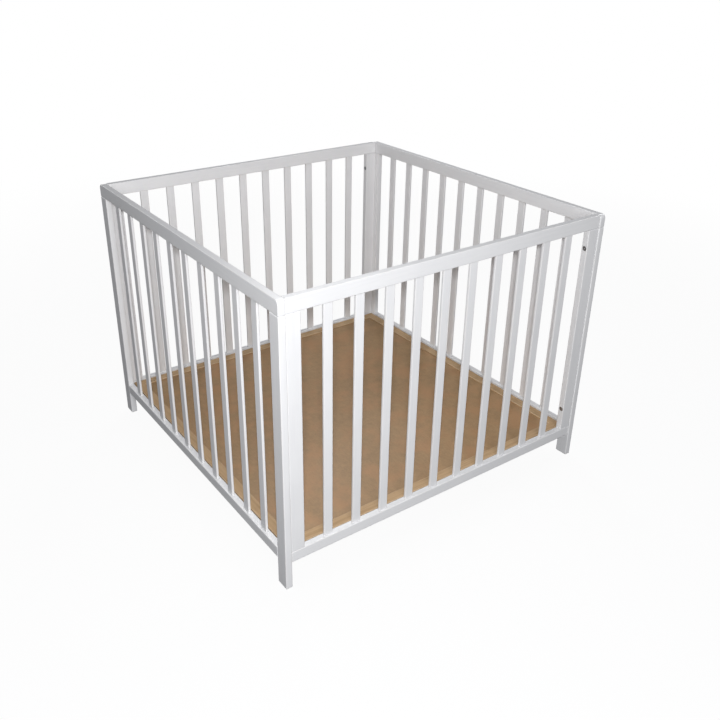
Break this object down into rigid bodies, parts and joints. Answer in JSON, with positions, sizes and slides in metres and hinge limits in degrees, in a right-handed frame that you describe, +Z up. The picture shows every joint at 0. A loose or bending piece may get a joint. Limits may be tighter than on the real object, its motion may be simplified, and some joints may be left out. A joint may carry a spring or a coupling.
{
  "type": "playpen",
  "caption": "Square free-standing wooden playpen of slatted panels bolted at the corners, standing on short legs, with a lift-out floor board just above the bottom rails.",
  "frame": {"origin": "on the ground, under the middle of the pen", "axes": "+X to the right seen from the front, +Y to the back, +Z up; the front and back panels lie along X, the side panels with the legs along Y"},
  "size_m": [1, 1, 0.753],
  "materials": {
    "white_paint": "satin white paint on planed wood",
    "pale_wood": "pale planed softwood laths",
    "brown_hardboard": "smooth brown hardboard",
    "zinc_steel": "zinc-plated bolt, dark hex socket"
  },
  "bodies": {
    "panels": {"left_top_rail": "white_paint", "left_bottom_rail": "white_paint", "left_front_leg": "white_paint", "left_back_leg": "white_paint", "left_slat_01": "white_paint", "left_slat_02": "white_paint", "left_slat_03": "white_paint", "left_slat_04": "white_paint", "left_slat_05": "white_paint", "left_slat_06": "white_paint", "left_slat_07": "white_paint", "left_slat_08": "white_paint", "left_slat_09": "white_paint", "left_slat_10": "white_paint", "right_top_rail": "white_paint", "right_bottom_rail": "white_paint", "right_front_leg": "white_paint", "right_back_leg": "white_paint", "right_slat_01": "white_paint", "right_slat_02": "white_paint", "right_slat_03": "white_paint", "right_slat_04": "white_paint", "right_slat_05": "white_paint", "right_slat_06": "white_paint", "right_slat_07": "white_paint", "right_slat_08": "white_paint", "right_slat_09": "white_paint", "right_slat_10": "white_paint", "front_top_rail": "white_paint", "front_bottom_rail": "white_paint", "front_left_stile": "white_paint", "front_right_stile": "white_paint", "front_slat_01": "white_paint", "front_slat_02": "white_paint", "front_slat_03": "white_paint", "front_slat_04": "white_paint", "front_slat_05": "white_paint", "front_slat_06": "white_paint", "front_slat_07": "white_paint", "front_slat_08": "white_paint", "front_slat_09": "white_paint", "front_slat_10": "white_paint", "back_top_rail": "white_paint", "back_bottom_rail": "white_paint", "back_left_stile": "white_paint", "back_right_stile": "white_paint", "back_slat_01": "white_paint", "back_slat_02": "white_paint", "back_slat_03": "white_paint", "back_slat_04": "white_paint", "back_slat_05": "white_paint", "back_slat_06": "white_paint", "back_slat_07": "white_paint", "back_slat_08": "white_paint", "back_slat_09": "white_paint", "back_slat_10": "white_paint", "front_floor_ledge": "white_paint", "back_floor_ledge": "white_paint"},
    "floor": {"floor_frame": "pale_wood", "floor_panel": "brown_hardboard"}
  },
  "joints": [
    {"name": "floor_lift", "type": "slide", "parent": "panels", "child": "floor", "axis": [0, 0, 1], "range_m": [0, 0.7]}
  ]
}
